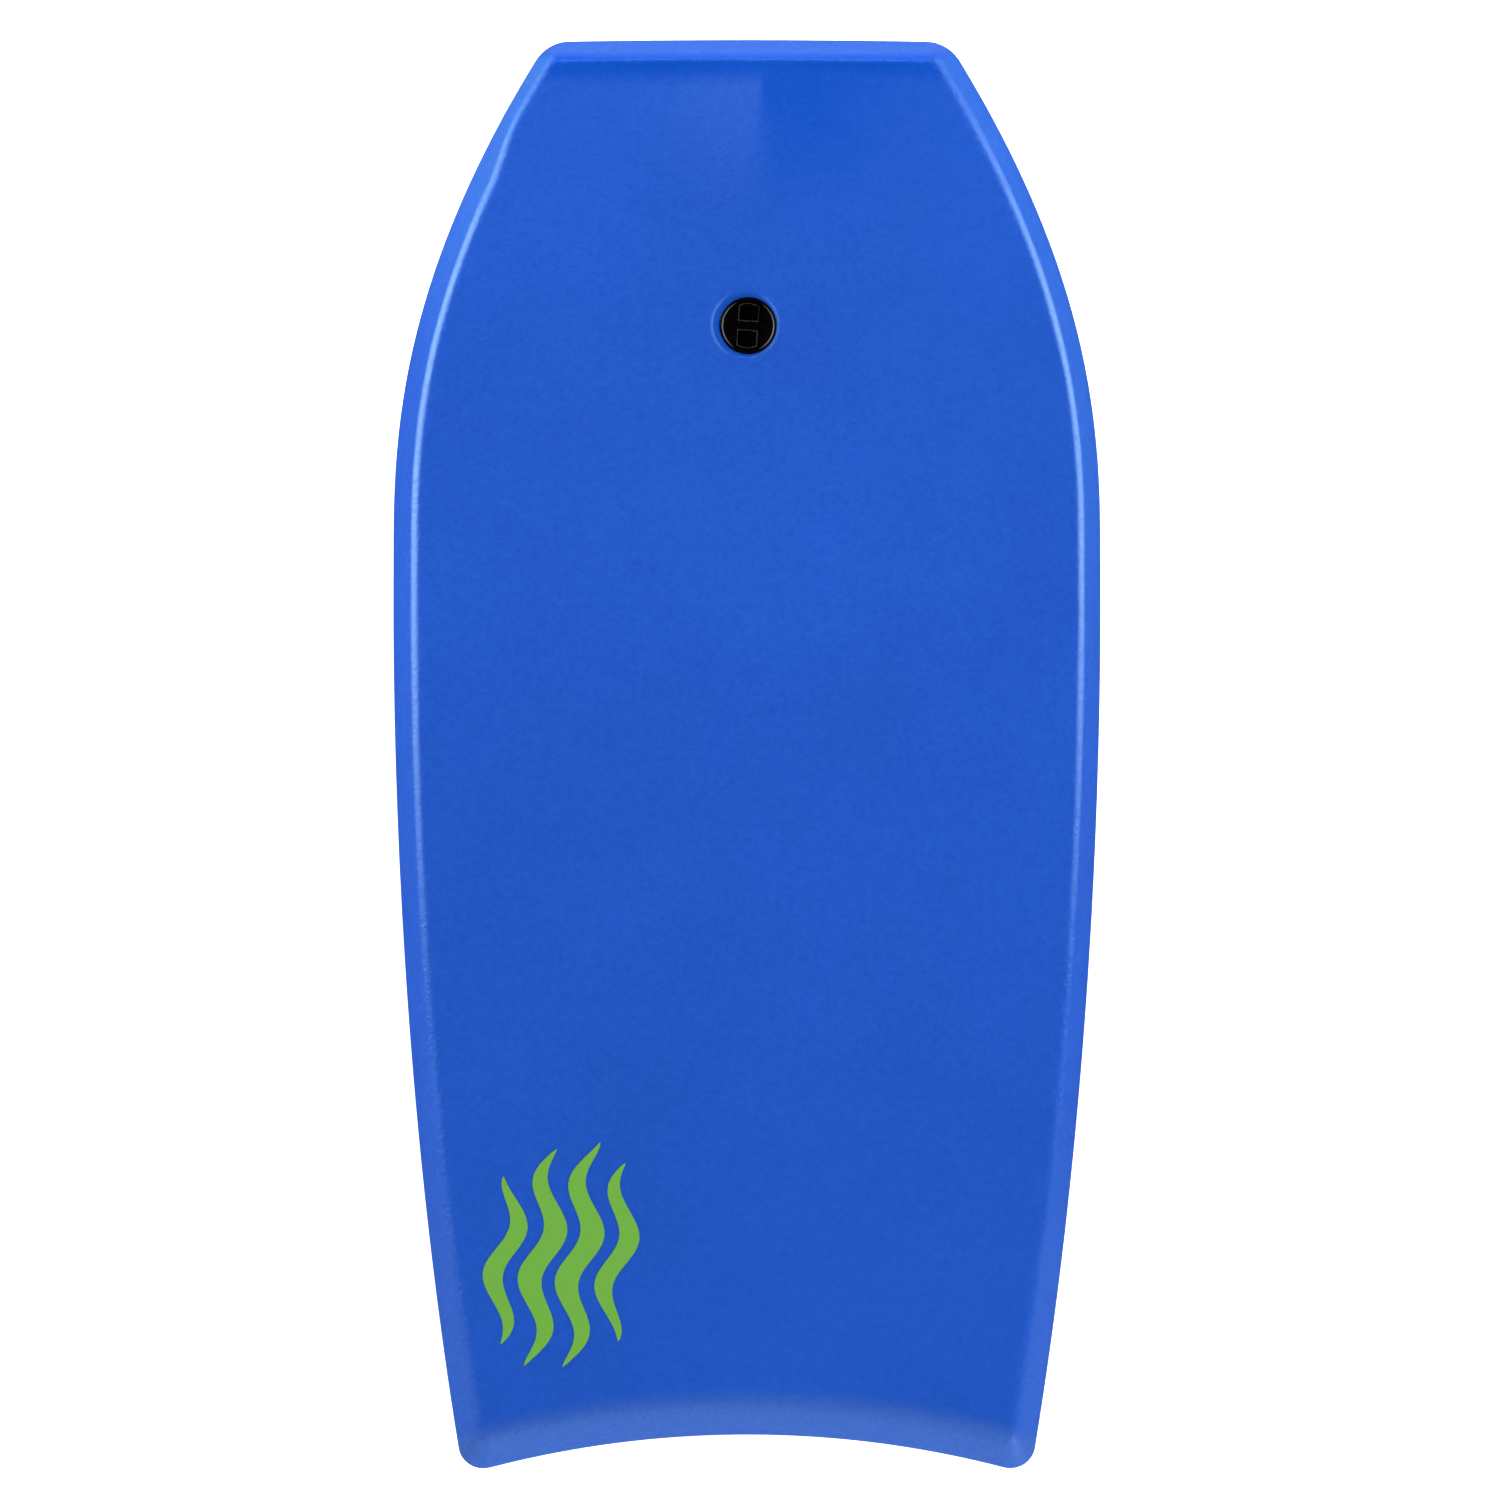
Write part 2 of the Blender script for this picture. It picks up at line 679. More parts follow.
def slick_bottom():
    surface = Surface()
    underside = lambda x, y: bottom_z(y) + channel_lift(x, y)
    upper_side = lambda x, y: underside(x, y) + SLICK
    outer, inner = lower_plan(1, 0), lower_plan(1, SLICK_ROUND)
    rings = [
        over(inner.loop, underside),
        over(outer.loop, underside) + (0, 0, SLICK_ROUND),
        over(outer.loop, upper_side) - (0, 0, SLICK_ROUND),
        over(inner.loop, upper_side),
    ]
    surface.grid(rings, closed=True)
    hole = THREAD_CREST + 2 * GAP
    radii = [36, 24, 15]
    outwards = interior(surface, inner, underside, hole, radii)
    interior(surface, inner, upper_side, hole, radii)
    edge = np.array([0, PLUG_Y]) + hole * outwards
    surface.grid([over(edge, underside), over(edge, upper_side)], closed=True)
    return surface.mesh("slick_bottom_sheet", sharp=50)


# ---- Turned and cut shapes for the plug, in its own frame

def turned(name, profile, segments=96):
    """A solid about Z from (radius, z) pairs that run up from the axis and back to it."""
    angles = np.linspace(0, 2 * math.pi, segments, endpoint=False)
    return solid(name, [circle(radius, z, angles) for radius, z in profile if radius > 0], sharp=35)


def rounded(centre_r, centre_z, radius, start, end, steps=5):
    """Points of an arc in a profile, from one angle to another in degrees."""
    angles = np.radians(np.linspace(start, end, steps))
    return [(centre_r + radius * math.cos(a), centre_z + radius * math.sin(a)) for a in angles]


def prism(name, outline, low, high):
    """A solid that stands on an outline of plan points."""
    outline = np.array(outline, float)
    return solid(name, [over(outline, lambda x, y, z=z: z + 0 * x) for z in (low, high)], sharp=35)


def pocket_outline(half_x, radius, low_y, corner=1.2):
    """What lies inside a circle, between two lines along Y and past one along X, with soft corners."""
    x = np.linspace(-half_x, half_x, 21)
    far = np.sqrt(radius**2 - x * x)
    soft = corner * (1 - np.sqrt(1 - np.clip((abs(x) - half_x + corner) / corner, 0, 1) ** 2))
    return [*zip(x, low_y + soft), *zip(x[::-1], (far - soft)[::-1])]


def threaded_rod(name, root, low, high, segments=48):
    """A rod about Z whose surface carries a helical thread that fades out at both ends."""
    rows_per_turn = 14
    rows = round((high - low) / THREAD_PITCH * rows_per_turn)
    angles = np.linspace(0, 2 * math.pi, segments, endpoint=False)
    rings = []
    for i in range(rows + 1):
        z = low + (high - low) * i / rows
        wave = np.clip(0.75 * np.cos(2 * math.pi * (z / THREAD_PITCH) - angles) + 0.25, 0, 1)
        fade = min(1, (z - low) / THREAD_PITCH, (high - z) / THREAD_PITCH)
        rings.append(circle(root + THREAD_DEPTH * wave * fade, z, angles))
    return solid(name, rings, sharp=60)


def apply_modifiers(piece):
    graph = bpy.context.evaluated_depsgraph_get()
    mesh = bpy.data.meshes.new_from_object(piece.evaluated_get(graph))
    piece.modifiers.clear()
    piece.data = mesh


def combine(piece, tools, operation):
    """Cuts tools from a piece, or joins them to it, and removes them."""
    for tool in tools:
        modifier = piece.modifiers.new(tool.name, "BOOLEAN")
        modifier.operation = operation
        modifier.solver = "EXACT"
        modifier.object = tool
    apply_modifiers(piece)
    for tool in tools:
        bpy.data.objects.remove(tool)


def soften_edges(piece, width, angle=32):
    """Rounds the sharp edges of a moulded piece."""
    modifier = piece.modifiers.new("bevel", "BEVEL")
    modifier.width = width * MM
    modifier.segments = 3
    modifier.limit_method = "ANGLE"
    modifier.angle_limit = math.radians(angle)
    modifier.use_clamp_overlap = True
    apply_modifiers(piece)


def in_place(moulding):
    """A finished moulding of the plug, moved from its own frame into the board."""
    moulding.data.transform(plug_place)
    shade(moulding, 30)
    return moulding


def leash_plug_top():
    lip = 0.8
    body = turned("leash_plug_moulding", [
        (0, POST_END),
        (POST_RADIUS - 0.6, POST_END),
        (POST_RADIUS, POST_END + 0.6),
        (POST_RADIUS, CUP_BASE),
        (CUP_RADIUS - 1.5, CUP_BASE),
        (CUP_RADIUS, CUP_BASE + 1.5),
        (CUP_RADIUS, 0),
        *rounded(FLANGE_RADIUS - 0.4, 0.4, 0.4, -90, 0),
        *rounded(FLANGE_RADIUS - lip, LIP_TOP - lip, lip, 0, 90, 8),
        *rounded(LIP_INNER + 0.7, LIP_TOP - 0.3, 0.3, 90, 150, 4),
        *rounded(LIP_INNER - 0.3, FLANGE_FACE + 0.35, 0.35, -30, -90, 4),
        (0, FLANGE_FACE),
    ])
    past = 10  # how high the cutting pieces reach, which is clear of the plug
    front, back = (
        prism(f"pocket_{name}", pocket_outline(POCKET_HALF, POCKET_RADIUS, BAR_HALF), POCKET_FLOOR, past)
        for name in ("front", "back")
    )
    back.data.transform(Matrix.Rotation(math.pi, 4, "Z"))
    tunnel_half, tunnel_end = POCKET_HALF - 0.4, BAR_HALF + 1
    square = ((-1, -1), (1, -1), (1, 1), (-1, 1))
    tunnel = [(x * tunnel_half, y * tunnel_end) for x, y in square]
    under_bar = prism("under_bar", tunnel, POCKET_FLOOR + 0.4, BAR_UNDERSIDE)
    radius = LIP_INNER - 0.4
    arc = [math.pi / 2 - math.asin(VALLEY_HALF / radius) * part for part in np.linspace(-1, 1, 13)]
    top_arc = [(radius * math.cos(a), radius * math.sin(a)) for a in arc]
    valley = prism("valley", top_arc + [(-x, -y) for x, y in top_arc], VALLEY_LEVEL, past)
    combine(body, [front, back, under_bar, valley], "DIFFERENCE")
    soften_edges(body, 0.35)
    socket_root = THREAD_CREST - THREAD_DEPTH + THREAD_PLAY
    combine(body, [threaded_rod("socket", socket_root, POST_END - THREAD_PITCH, SOCKET_TOP)], "DIFFERENCE")
    return in_place(body)


def leash_plug_screw():
    seat = slick_level - GAP
    base = seat - SCREW_FLANGE
    body = turned("leash_plug_screw_moulding", [
        (0, base),
        (FLANGE_RADIUS - 5, base),
        *rounded(FLANGE_RADIUS - 2.6, base + 2.0, 2.0, -80, -5, 8),
        (FLANGE_RADIUS - 0.4, seat),
        (0, seat),
    ])
    length, width, depth = SCREW_SLOT
    half = length / 2 - width / 2
    turns = np.linspace(-1.57, 1.57, 9)
    ends = [(half + width / 2 * math.cos(a), width / 2 * math.sin(a)) for a in turns]
    slot = prism("slot", ends + [(-x, -y) for x, y in ends], base - 10, base + depth)
    combine(body, [slot], "DIFFERENCE")
    soften_edges(body, 0.3)
    combine(body, [threaded_rod("stem", THREAD_CREST - THREAD_DEPTH, seat - 0.5, SCREW_TOP)], "UNION")
    return in_place(body)


# ---- Printed mark: water waves, as a thin film of ink on the deck

def deck_print():
    middle = np.array([-136.5, -365.5])
    lean = math.radians(-6)
    across = np.array([math.cos(lean), math.sin(lean)])
    along = np.array([-math.sin(lean), math.cos(lean)])
    film, lift = 0.15, 0.06
    bands = ((-40, 122, 15), (-13, 160, 18), (14, 166, 18), (41, 130, 15))  # offset, length and width
    wave_height, wave_length = 7.5, 74
    stagger = 5  # from each band to the next, along them
    tip = 0.12  # half the width at a band's ends
    s = np.linspace(-1, 1, 73)
    surface = Surface()
    for number, (offset, length, width) in enumerate(bands):
        u = s * length / 2 + stagger * (number - 1.5)
        wave = wave_height * np.sin(2 * math.pi * u / wave_length)
        half_width = tip + width / 2 * (1 - s * s) ** 0.75
        lanes = [offset + wave + lane * half_width for lane in np.linspace(-1, 1, 5)]
        rows = np.array([middle + u[:, None] * along + v[:, None] * across for v in lanes])
        z = deck_z(rows[..., 0], rows[..., 1]) + lift
        top = np.dstack([rows, z + film])
        bottom = np.dstack([rows, z])
        surface.grid(top)
        surface.grid(bottom[::-1])
        for edge in (0, -1):
            surface.grid([top[edge], bottom[edge]])
            surface.grid([top[:, edge], bottom[:, edge]])
    return surface.mesh("deck_print_film", sharp=60)


# ---- Materials

class Finish:
    """A node material, and short names for the nodes that it is built from. Positions are the object's own,
    in metres, so scales are repeats per metre."""

    def __init__(self, name, roughness, specular=0.5, ior=1.5):
        self.material = bpy.data.materials.new(name)
        self.material.use_nodes = True
        self.tree = self.material.node_tree
        self.shader = self.tree.nodes["Principled BSDF"]
        self.shader.inputs["Roughness"].default_value = roughness
        self.shader.inputs["Specular IOR Level"].default_value = specular
        self.shader.inputs["IOR"].default_value = ior
        self.position = self.tree.nodes.new("ShaderNodeTexCoord").outputs["Object"]
        self.normal = None

    def node(self, kind, **inputs):
        node = self.tree.nodes.new(kind)
        for key, value in inputs.items():
            self.link(value, node.inputs[key.replace("_", " ")])
        return node

    def link(self, value, socket):
        if isinstance(value, bpy.types.NodeSocket):
            self.tree.links.new(value, socket)
        else:
            socket.default_value = value

    def stretched(self, scale):
        mapping = self.node("ShaderNodeMapping", Vector=self.position)
        mapping.inputs["Scale"].default_value = scale
        return mapping.outputs["Vector"]

    def noise(self, scale, detail=3.0, vector=None):
        node = self.node("ShaderNodeTexNoise", Vector=vector or self.position, Scale=scale,
                         Detail=detail, Roughness=0.55)
        return node.outputs["Fac"]

    def cells(self, scale, feature="SMOOTH_F1"):
        node = self.node("ShaderNodeTexVoronoi", Vector=self.position)
        node.feature = feature
        node.inputs["Scale"].default_value = scale
        return node.outputs["Distance"]

    def spread(self, value, low, high, to_low=0.0, to_high=1.0, kind="LINEAR"):
        node = self.node("ShaderNodeMapRange", Value=value)
        node.interpolation_type = kind
        for key, number in (("From Min", low), ("From Max", high), ("To Min", to_low), ("To Max", to_high)):
            node.inputs[key].default_value = number
        return node.outputs["Result"]

    def fade(self, *values):
        return self.spread(*values, kind="SMOOTHSTEP")

    def maths(self, operation, first, second=0.0):
        node = self.tree.nodes.new("ShaderNodeMath")
        node.operation = operation
        self.link(first, node.inputs[0])
        self.link(second, node.inputs[1])
        return node.outputs[0]

    def size(self, value):
        return self.maths("ABSOLUTE", value)

    def sum(self, first, second):
        return self.maths("ADD", first, second)

    def ratio(self, first, second):
        return self.maths("DIVIDE", first, second)

    def distance(self, first, second):
        return self.maths("SQRT", self.sum(self.product(first, first), self.product(second, second)))

    def highest(self, first, second):
        return self.maths("MAXIMUM", first, second)

    def product(self, first, *others):
        for other in others:
            first = self.maths("MULTIPLY", first, other)
        return first

    def apart(self, vector):
        return self.node("ShaderNodeSeparateXYZ", Vector=vector).outputs

    def mixed(self, factor, first, second, blend="MIX"):
        node = self.tree.nodes.new("ShaderNodeMix")
        node.data_type = "RGBA"
        node.blend_type = blend
        self.link(factor, node.inputs[0])
        self.link(first, node.inputs[6])  # the node's colours come after its numbers and vectors
        self.link(second, node.inputs[7])
        return node.outputs[2]

    def bump(self, height, distance, strength=1.0):
        node = self.node("ShaderNodeBump", Height=height, Distance=distance, Strength=strength)
        if self.normal:
            self.tree.links.new(self.normal, node.inputs["Normal"])
        self.normal = node.outputs["Normal"]

    def finish(self, colour, roughness=None):
        self.link(colour, self.shader.inputs["Base Color"])
        if roughness is not None:
            self.link(roughness, self.shader.inputs["Roughness"])
        if self.normal:
            self.tree.links.new(self.normal, self.shader.inputs["Normal"])
        return self.material


def tone(rgb, factor=1.0):
    return (*(min(1, c * factor) for c in rgb), 1)


def slot_colour(slot):
    return next(m["base_color"] for m in frame["record"]["materials"] if m["slot"] == slot)


def foam_skin(name, rgb, pebble=1.0, marks=None):
    """Cross-linked foam with a heat-pressed skin: fine pebbling, soft dimples and a slightly uneven dye.
    Its highlights are tinted blue, as the photo's are."""
    foam = Finish(name, 0.38, specular=1.0, ior=1.65)
    foam.shader.inputs["Specular Tint"].default_value = (0.45, 0.75, 1, 1)
    broad = foam.noise(7, 4)
    cloud = foam.noise(46, 3)
    dye = foam.mixed(foam.spread(broad, 0.3, 0.7), tone(rgb, 0.955), tone(rgb, 1.045))
    if marks:
        dye = marks(foam, dye)
    pale = foam.mixed(1.0, dye, tone((1.55, 1.31, 1.08)), "MULTIPLY")
    dark = foam.mixed(1.0, dye, tone((0.66, 0.77, 0.86)), "MULTIPLY")
    grain = foam.spread(foam.noise(560, 2), 0.3, 0.7)
    mottle = foam.spread(foam.noise(210, 2), 0.3, 0.7)
    colour = foam.mixed(foam.mixed(0.5, grain, mottle), dark, pale)
    foam.bump(cloud, 0.0006 * pebble, 0.7)
    foam.bump(foam.noise(190, 2), 0.0004 * pebble, 0.7)
    foam.bump(foam.cells(400), 0.0004 * pebble, 0.8)
    return foam.finish(colour, foam.spread(cloud, 0.3, 0.7, 0.33, 0.41))


def nose_marks(foam, dye, across, along, off_nose):
    """Behind the nose, the ridge's left side is pale and its right side dull, and so is a band behind the
    bevel. The nose's own bevel is paler."""
    waver = foam.spread(foam.noise(18, 2), 0.3, 0.7, -0.004, 0.004)
    place = foam.sum(across, waver)
    near_nose = foam.fade(along, 0.37, 0.49)
    blur = foam.spread(along, 0.41, 0.485, 0.022, 0.003)  # the line between them is sharper near the nose
    right = foam.fade(foam.ratio(foam.sum(across, -RIDGE_LINE * MM), blur), -1, 1)
    left = foam.spread(right, 0, 1, 1, 0)
    pale = foam.product(near_nose, left, foam.fade(place, -0.1, -0.004, 0, 0.55))
    dull = foam.product(near_nose, right, foam.fade(place, 0.05, 0.125, 1, 0.25))
    band = foam.fade(along, 0.484, 0.501)
    dull = foam.product(off_nose, foam.highest(foam.product(dull, 0.8), band))
    dye = foam.mixed(foam.product(off_nose, pale), dye, tone((0.04, 0.135, 0.62)))
    dye = foam.mixed(foam.spread(off_nose, 1, 0), dye, tone((0.038, 0.124, 0.57)))
    return foam.mixed(dull, dye, tone((0.004, 0.083, 0.545)))


def dish_marks(foam, dye, across, along):
    """The edge of the dish around the plug is paler on its left and right, and its inside is dull."""
    aside = foam.sum(across, -DISH_X * MM)
    out = foam.distance(aside, foam.sum(along, -DISH_Y * MM))
    rim = foam.spread(foam.size(foam.sum(out, -DISH_PALE * MM)), 0.0003, 0.0017, 0.5, 0)
    rim = foam.product(rim, foam.spread(foam.size(aside), 0.010, 0.022))
    dye = foam.mixed(rim, dye, tone((0.11, 0.25, 0.8)))
    inside = foam.product(foam.spread(out, 0.0235, 0.0225), 0.7)
    return foam.mixed(inside, dye, tone((0.006, 0.088, 0.56)))


def tail_marks(foam, dye, across, along, bevel):
    """The tail's bevel, and the ends of the side bevels next to it, are chalkier."""
    sag = foam.product(across, across, 0.5 / (CRESCENT_RADIUS * MM))
    ahead = foam.sum(foam.sum(along, -TAIL_Y * MM), sag)
    at_tail = foam.fade(ahead, 0.038, 0.02)
    beside = foam.product(foam.fade(along, -0.2, -0.42, 0, 0.35), bevel)
    return foam.mixed(foam.highest(foam.product(at_tail, 0.9), beside), dye, tone((0.05, 0.135, 0.5)))


def side_marks(foam, dye, along, off_nose, bevel, sideways, up):
    """The fronts of the side bevels are paler, the left one's most. So is the line along their shoulders,
    most of all ahead of the middle."""
    left = foam.product(bevel, foam.spread(sideways, -0.15, -0.35), foam.spread(along, 0.27, 0.48, 0, 0.9))
    dye = foam.mixed(foam.product(left, off_nose), dye, tone((0.043, 0.167, 0.62)))
    right = foam.product(bevel, foam.spread(sideways, 0.15, 0.35), foam.spread(along, -0.05, 0.2), off_nose)
    dye = foam.mixed(right, dye, tone((0.022, 0.125, 0.62)))
    shoulder = foam.product(
        foam.fade(up, 0.55, 0.8),
        foam.fade(up, 0.975, 0.87),
        foam.fade(foam.size(sideways), 0.15, 0.35),
    )
    ahead = foam.fade(along, -0.22, 0.2)
    short_of_nose = foam.fade(along, 0.5, 0.3, 0.05, 1)
    return foam.mixed(foam.product(shoulder, ahead, short_of_nose, 0.58), dye, tone((0.25, 0.44, 0.92)))


def deck_marks(foam, dye):
    """What the photo shows on the deck beyond an even blue, as changes of dye. In the photo some of it may be
    light instead. All lengths are in metres."""
    across, along, _ = foam.apart(foam.position)
    sideways, _, up = foam.apart(foam.node("ShaderNodeNewGeometry").outputs["Normal"])
    bevel = foam.fade(up, 0.97, 0.75)
    off_nose = foam.spread(along, 0.511, 0.506)
    dye = nose_marks(foam, dye, across, along, off_nose)
    dye = dish_marks(foam, dye, across, along)
    dye = tail_marks(foam, dye, across, along, bevel)
    return side_marks(foam, dye, along, off_nose, bevel, sideways, up)


def ink_finish():
    """Screen-printed ink that takes the foam's pebbling and thins a little on its high spots."""
    ink = Finish("printed_ink", 0.4, specular=0.45)
    rgb = slot_colour("graphic_ink")
    grain = ink.noise(900, 3)
    cloud = ink.noise(46, 3)
    colour = ink.mixed(ink.spread(grain, 0.35, 0.8), tone(rgb), tone(rgb, 0.86))
    ink.bump(cloud, 0.0006, 0.7)
    ink.bump(ink.cells(520), 0.00012, 0.8)
    return ink.finish(colour, ink.spread(cloud, 0.3, 0.7, 0.36, 0.46))


def slick_finish():
    """Hard polyethylene with a soft gloss and fine scuffs along the board."""
    slick = Finish("slick_polyethylene", 0.28, specular=0.5)
    rgb = slot_colour("slick_plastic")
    streaks = slick.noise(1, 4, vector=slick.stretched((900, 14, 900)))
    haze = slick.noise(12, 4)
    colour = slick.mixed(slick.spread(haze, 0.3, 0.7), tone(rgb, 0.96), tone(rgb, 1.02))
    slick.bump(streaks, 0.00002, 0.6)
    slick.bump(slick.noise(30, 2), 0.0004, 0.5)
    return slick.finish(colour, slick.spread(streaks, 0.35, 0.75, 0.22, 0.4))


def moulded_finish(name, rgb, roughness, grain_depth):
    """Injection-moulded plastic with a fine grain and slight smears in its gloss."""
    plastic = Finish(name, roughness, specular=0.5)
    smears = plastic.noise(160, 3)
    grain = plastic.noise(2400, 2)
    colour = plastic.mixed(plastic.spread(smears, 0.3, 0.7), tone(rgb, 0.9), tone(rgb, 1.2))
    plastic.bump(grain, grain_depth, 0.7)
    return plastic.finish(colour, plastic.spread(smears, 0.3, 0.7, roughness - 0.05, roughness + 0.07))


def plug_finish():
    """Glossy black plastic, paler along its lip and the edges of its pockets."""
    plastic = Finish("plug_black", 0.2, specular=0.15)
    local = plastic.node("ShaderNodeMapping", Vector=plastic.position)
    local.vector_type = "TEXTURE"
    local.inputs["Location"].default_value = plug_place.translation
    local.inputs["Rotation"].default_value = plug_place.to_euler()
    across, along, up = plastic.apart(local.outputs["Vector"])
    sideways = plastic.size(across)
    out = plastic.distance(across, along)
    past_side = plastic.sum(sideways, -POCKET_HALF * MM)
    past_bar = plastic.maths("SUBTRACT", BAR_HALF * MM, plastic.size(along))
    past_end = plastic.sum(out, -POCKET_RADIUS * MM)
    from_edge = plastic.highest(plastic.highest(past_side, past_bar), past_end)
    edge = plastic.spread(plastic.size(from_edge), 0.0001, 0.0005, 0.2, 0)
    from_ring = plastic.size(plastic.sum(out, -LIP_PALE * MM))
    at_sides = plastic.spread(sideways, 0.009, 0.019)
    ring = plastic.product(plastic.spread(from_ring, 0.0001, 0.0006, 0.75, 0), at_sides)
    paler = plastic.product(plastic.highest(edge, ring), plastic.spread(up, 0.0004, 0.001))
    rgb = slot_colour("plug_plastic")
    smears = plastic.noise(160, 3)
    black = plastic.mixed(plastic.spread(smears, 0.3, 0.7), tone(rgb, 0.1), tone(rgb, 0.4))
    plastic.bump(plastic.noise(2400, 2), 0.00002, 0.7)
    colour = plastic.mixed(paler, black, tone((0.24, 0.24, 0.26)))
    return plastic.finish(colour, plastic.spread(smears, 0.3, 0.7, 0.14, 0.24))


def bead_foam_finish():
    """Moulded bead foam: pale rounded beads pressed together, with darker joints."""
    beads = Finish("bead_foam", 0.85, specular=0.25)
    rgb = slot_colour("core_foam")
    joints = beads.cells(230, "DISTANCE_TO_EDGE")
    colour = beads.mixed(beads.spread(joints, 0.0, 0.12), tone(rgb, 0.78), tone(rgb, 1.0))
    beads.bump(beads.spread(joints, 0.0, 0.3), 0.0005, 0.8)
    beads.bump(beads.noise(1400, 2), 0.00005, 0.8)
    return beads.finish(colour)


def cut_foam_finish():
    """Closed-cell foam strip with its cut cells showing."""
    strip = Finish("cut_foam", 0.8, specular=0.25)
    rgb = slot_colour("rail_filler_foam")
    cells = strip.cells(1100, "F1")
    colour = strip.mixed(strip.spread(cells, 0.2, 0.8), tone(rgb, 0.88), tone(rgb, 1.05))
    strip.bump(cells, 0.00012, 0.8)
    return strip.finish(colour)


def fibre_finish():
    """Pultruded glass fibre: dark resin over fine lengthwise strands."""
    fibre = Finish("glass_fibre", 0.35, specular=0.5)
    rgb = slot_colour("stringer_fibre")
    strands = fibre.noise(1, 3, vector=fibre.stretched((2600, 30, 2600)))
    colour = fibre.mixed(fibre.spread(strands, 0.3, 0.7), tone(rgb, 0.7), tone(rgb, 2.2))
    fibre.bump(strands, 0.00004, 0.7)
    return fibre.finish(colour, fibre.spread(strands, 0.3, 0.7, 0.28, 0.45))


def wear(piece, finish):
    piece.data.materials.clear()
    piece.data.materials.append(finish)


def dress(piece, finish, slot, *nodes):
    """Gives a new piece its material, its body, its slot and the CAD nodes that it stands for."""
    wear(piece, finish)
    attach(piece, "root")
    if nodes:
        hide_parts(*nodes)


# ---- The pieces

deck_blue = foam_skin("deck_foam_blue", slot_colour("deck_foam"), marks=deck_marks)
rail_blue = foam_skin("rail_foam_blue", slot_colour("rail_foam"), pebble=0.8)

deck = deck_skin()
dress(deck, deck_blue, "deck_foam", "deck_skin")
for name, piece in lower_rails().items():
    dress(piece, rail_blue, "rail_foam", f"lower_rail_{name}")
dress(slick_bottom(), slick_finish(), "slick_plastic", "slick_bottom")
dress(leash_plug_top(), plug_finish(), "plug_plastic", "leash_plug_top")
screw_black = moulded_finish("screw_black", (0.028, 0.028, 0.031), 0.4, 0.00004)
dress(leash_plug_screw(), screw_black, "plug_plastic", "leash_plug_screw")
dress(deck_print(), ink_finish(), "graphic_ink")

wear(frame["nodes"]["foam_core"], bead_foam_finish())
cut_foam = cut_foam_finish()
for name in ("tail", "right", "nose", "left"):
    wear(frame["nodes"][f"inner_rail_{name}"], cut_foam)
wear(frame["nodes"]["stringer_tube"], fibre_finish())
cap_plastic = moulded_finish("cap_plastic", slot_colour("stringer_cap_plastic"), 0.5, 0.00004)
for name in ("tail", "nose"):
    wear(frame["nodes"][f"stringer_cap_{name}"], cap_plastic)


# ---- Floor, light and camera, in metres

def blend(tree, output, share_of_second, first, second):
    """Sends a blend of two shaders to a node tree's output."""
    mix = tree.nodes.new("ShaderNodeMixShader")
    for socket, source in zip(mix.inputs, (share_of_second, first, second)):
        tree.links.new(source, socket)
    tree.links.new(mix.outputs[0], tree.nodes[output].inputs["Surface"])


def floor(name, glow, level, half):
    """A square of pale paper that faces up and is clear from below, so that the underside can be seen."""
    data = bpy.data.meshes.new(name)
    work = bmesh.new()
    bmesh.ops.create_grid(work, x_segments=1, y_segments=1, size=half)
    work.to_mesh(data)
    work.free()
    piece = bpy.data.objects.new(name, data)
    piece.location.z = level
    bpy.context.scene.collection.objects.link(piece)
    paper = Finish(f"{name}_paper", 0.9, specular=0.0)
    paper.shader.inputs["Emission Color"].default_value = (1, 1, 1, 1)
    paper.shader.inputs["Emission Strength"].default_value = glow
    wear(piece, paper.finish(paper.mixed(paper.noise(3), tone((0.86,) * 3), tone((0.9,) * 3))))
    from_below = paper.node("ShaderNodeNewGeometry").outputs["Backfacing"]
    clear = paper.node("ShaderNodeBsdfTransparent").outputs["BSDF"]
    blend(paper.tree, "Material Output", from_below, paper.shader.outputs["BSDF"], clear)
    piece.visible_glossy = False
    return piece


def floors():
    """The floor that is seen glows, which keeps it evenly pale. A plain one just under it throws light back
    on the board. Neither casts a shadow, so that the lights below reach the underside."""
    seen = floor("floor", 1.0, -0.0003, 60)
    seen.visible_diffuse = False
    seen.visible_shadow = False
    bounce = floor("floor_bounce", 0.0, -0.0006, 6)
    bounce.visible_camera = False
    bounce.visible_shadow = False


def softbox(name, azimuth, elevation, size, power, gloss=True, colours=True):
    """A rectangular area light that faces the board. Azimuth 0 is past the nose and 90 to the board's right.
    Without gloss it makes no highlights, and without colours it makes only highlights."""
    turn, rise = math.radians(azimuth), math.radians(elevation)
    aim = Vector((math.sin(turn) * math.cos(rise), math.cos(turn) * math.cos(rise), math.sin(rise)))
    data = bpy.data.lights.new(name, "AREA")
    data.shape = "RECTANGLE"
    data.size, data.size_y = size
    data.energy = power
    light = bpy.data.objects.new(name, data)
    light.location = aim * 3
    light.rotation_euler = aim.to_track_quat("Z", "Y").to_euler()
    light.visible_camera = False
    light.visible_glossy = gloss
    light.visible_diffuse = colours
    bpy.context.scene.collection.objects.link(light)


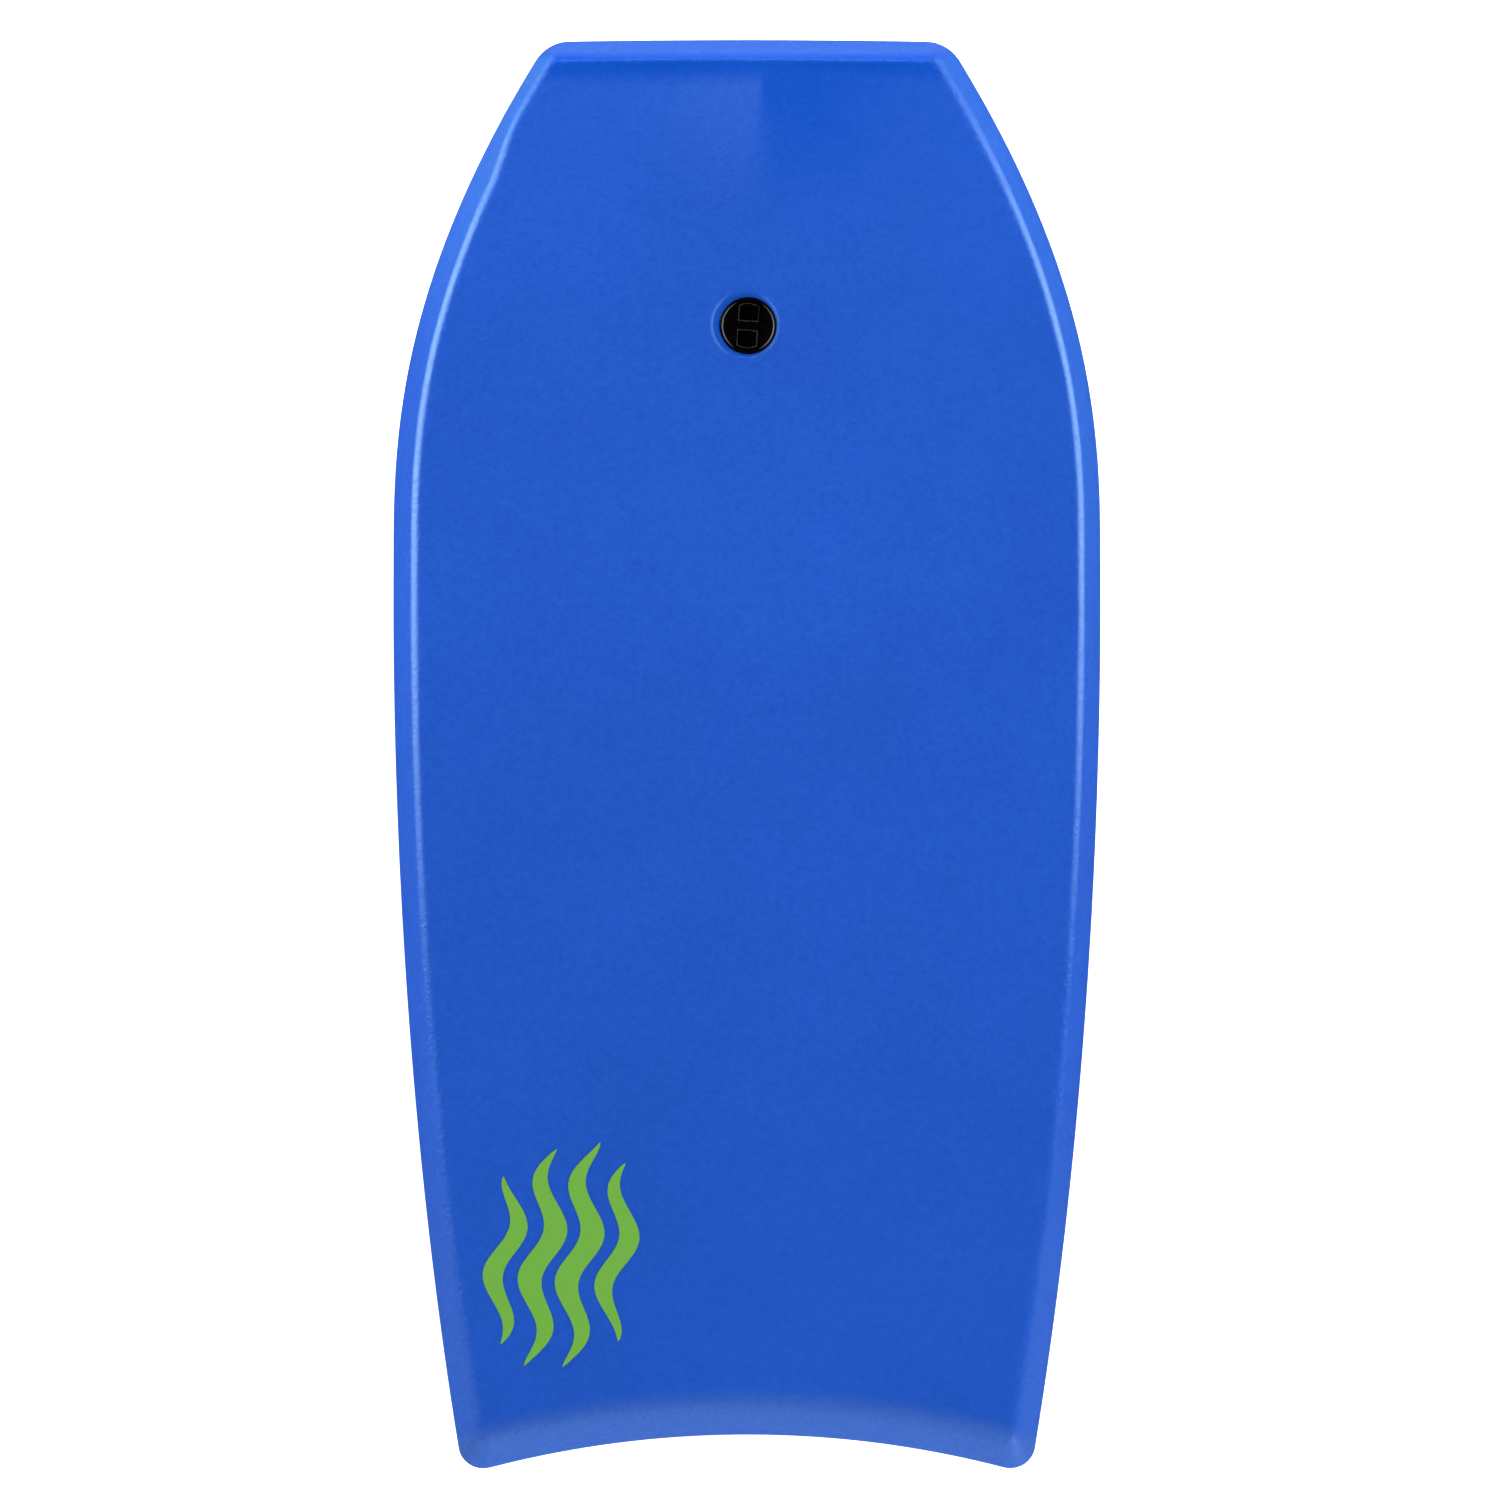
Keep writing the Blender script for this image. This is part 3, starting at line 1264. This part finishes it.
def world():
    """Weak light from all round, and a pale backdrop that only the camera sees."""
    sky = bpy.data.worlds.new("studio")
    sky.use_nodes = True
    tree = sky.node_tree
    glow = tree.nodes["Background"]
    glow.inputs["Color"].default_value = (1, 1, 1, 1)
    glow.inputs["Strength"].default_value = 0.031
    backdrop = tree.nodes.new("ShaderNodeBackground")
    backdrop.inputs["Color"].default_value = (0.9, 0.9, 0.9, 1)
    seen = tree.nodes.new("ShaderNodeLightPath").outputs["Is Camera Ray"]
    blend(tree, "World Output", seen, glow.outputs[0], backdrop.outputs[0])
    bpy.context.scene.world = sky


def lights():
    """Softboxes around the board. Most make no highlights, because the photo has few. Two weak ones are there
    for the underside. The places and powers of the other lamps that give colour began as a least-squares fit
    to the photo's colours by a scratch script. The powers were then changed by hand."""
    wide, strip = (1.5, 0.8), (1.4, 0.9)
    softbox("front_left", 300, 36, wide, 10)
    for name, azimuth, elevation, power in (
        ("front_right", 60, 36, 37),
        ("front_left_low", 300, 12, 66),
        ("front_right_low", 60, 12, 11),
        ("left", 270, 36, 18),
        ("nose", 0, 36, 43),
        ("nose_right_low", 30, 12, 32),
        ("tail_right_low", 150, 12, 80),
        ("tail_left_low", 210, 12, 34),
        ("under_right", 40, -50, 15),
        ("under_left", 215, -50, 18),
    ):
        softbox(name, azimuth, elevation, wide, power, gloss=False)
    softbox("strip_left", 285, 14, strip, 16, colours=False)
    softbox("strip_right", 76, 14, strip, 12, colours=False)


def camera():
    """Straight down on the deck through a long lens, from a little to the left of the picture's middle."""
    lens, sensor = 900, 36
    frame_height = 1.0942  # of the picture, where the camera is focused
    middle_x, middle_y, focus = 0.0022, 0.0027, 0.024
    off_axis = 0.02  # how far to the left the eye is, as a share of its distance
    distance = frame_height * lens / sensor
    data = bpy.data.cameras.new("camera")
    data.lens = lens
    data.sensor_fit = "VERTICAL"
    data.sensor_height = sensor
    data.clip_end = 200
    data.dof.use_dof = False
    eye = bpy.data.objects.new("camera", data)
    eye.location = (middle_x - off_axis * distance, middle_y, focus + distance)
    eye.rotation_euler = (0, -math.atan(off_axis), 0)
    bpy.context.scene.collection.objects.link(eye)
    bpy.context.scene.camera = eye


bpy.context.scene.view_settings.view_transform = "Standard"
floors()
world()
lights()
camera()
